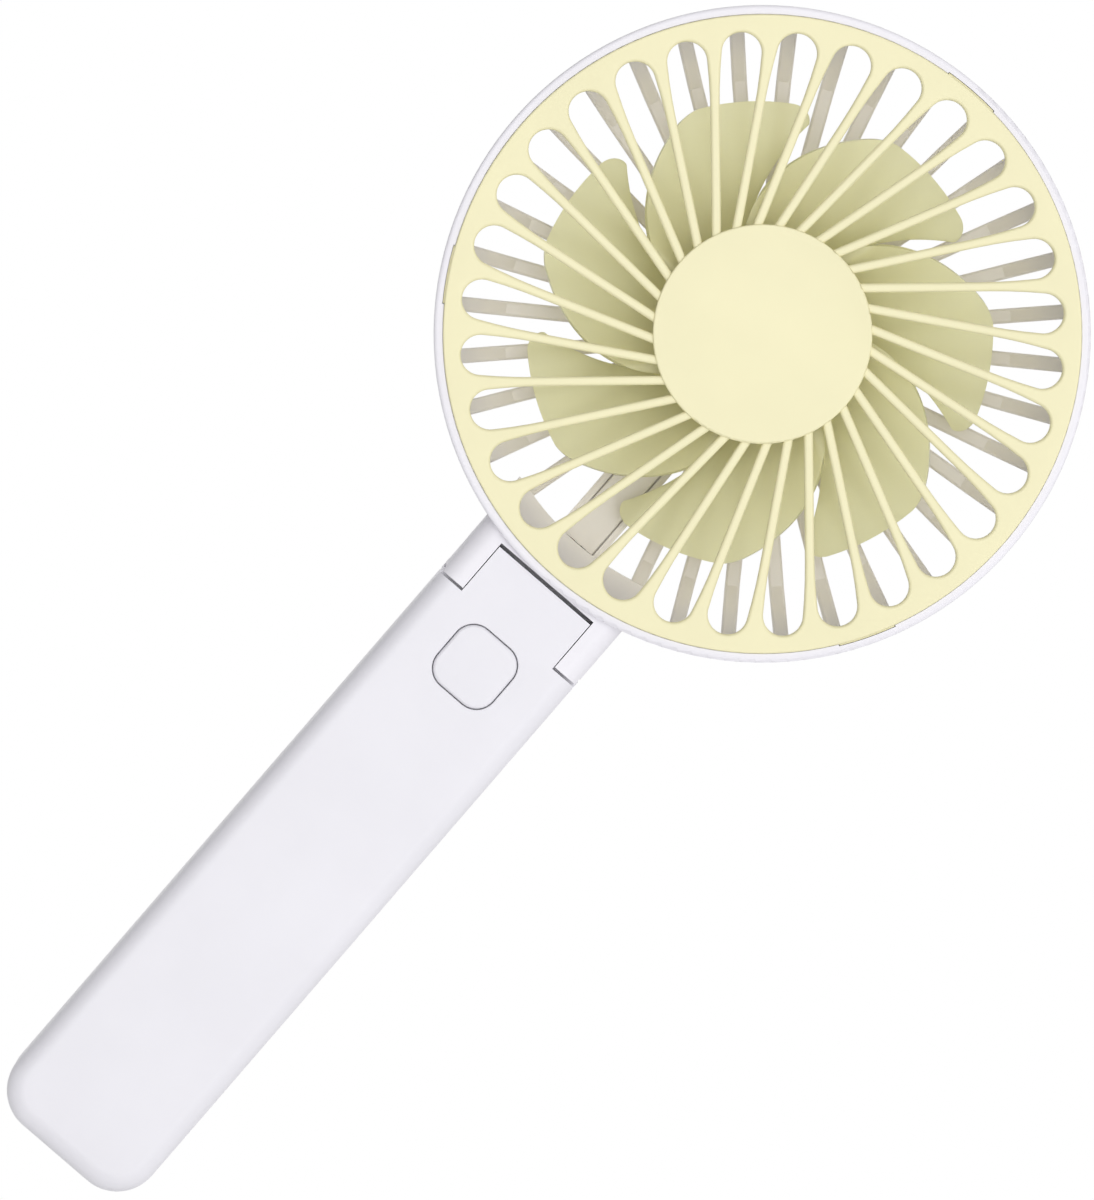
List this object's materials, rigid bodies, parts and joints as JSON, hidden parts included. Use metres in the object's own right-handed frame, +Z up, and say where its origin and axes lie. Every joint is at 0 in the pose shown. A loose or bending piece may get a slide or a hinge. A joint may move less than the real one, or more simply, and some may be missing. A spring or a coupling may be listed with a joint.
{
  "type": "handheld electric fan",
  "caption": "Rechargeable handheld fan: round guarded head with a bladed rotor, folding back on a slim flat handle that holds the battery and a push button.",
  "frame": {"origin": "middle of the grip, on the centre line of the handle", "axes": "+Z up the handle to the head, -Y the way the fan blows, +X to the right as seen from the front"},
  "size_m": [0.1, 0.0248, 0.215],
  "materials": {
    "white_plastic": "satin",
    "yellow_plastic": "satin",
    "tinted_plastic": "gloss",
    "button_plastic": "satin",
    "black_plastic": "matte",
    "nylon": "matte",
    "steel": "satin",
    "zinc_steel": "bright",
    "spring_steel": "satin",
    "bronze": "matte",
    "brass": "bright",
    "copper": "enamelled",
    "ferrite": "matte",
    "board": "solder mask",
    "red_lead": "matte",
    "black_lead": "matte",
    "cell_can": "plain",
    "cell_wrap": "gloss"
  },
  "bodies": {
    "handle": {"handle_front_shell": "white_plastic", "handle_rear_shell": "white_plastic", "tact_switch": "black_plastic", "circuit_board": "board", "board_screws": "zinc_steel", "control_chip": "black_plastic", "board_components": "nylon", "charging_port": "steel", "port_contact_blade": "black_plastic", "battery_cell": "cell_can", "battery_wrap": "cell_wrap", "battery_strips": "zinc_steel", "shell_screws": "zinc_steel", "handle_lead_red": "red_lead", "handle_lead_black": "black_lead", "battery_lead_red": "red_lead", "battery_lead_black": "black_lead", "friction_washers": "spring_steel"},
    "head": {"rear_housing": "white_plastic", "front_grille": "yellow_plastic", "wire_channel_cover": "white_plastic", "motor_can": "steel", "motor_end_cap": "nylon", "front_bush": "bronze", "rear_bush": "bronze", "motor_magnets": "ferrite", "motor_brushes": "brass", "motor_terminals": "brass", "motor_screws": "zinc_steel", "hinge_pin": "steel", "hinge_caps": "white_plastic", "motor_lead_red": "red_lead", "motor_lead_black": "black_lead"},
    "rotor": {"impeller": "tinted_plastic", "motor_shaft": "steel", "armature_core": "steel", "armature_windings": "copper", "commutator": "copper"},
    "button": {"power_button": "button_plastic", "switch_plunger": "black_plastic"}
  },
  "joints": [
    {"name": "head_fold", "type": "hinge", "parent": "handle", "child": "head", "pos_m": [0, 0.007, 0.06], "axis": [-1, 0, 0], "range_deg": [0, 90]},
    {"name": "rotor_spin", "type": "hinge", "parent": "head", "child": "rotor", "pos_m": [0, 0, 0.115], "axis": [0, 1, 0], "continuous": true},
    {"name": "button_press", "type": "slide", "parent": "handle", "child": "button", "axis": [0, 1, 0], "range_m": [0, 0.0005], "stiffness_N_per_m": 2000}
  ]
}
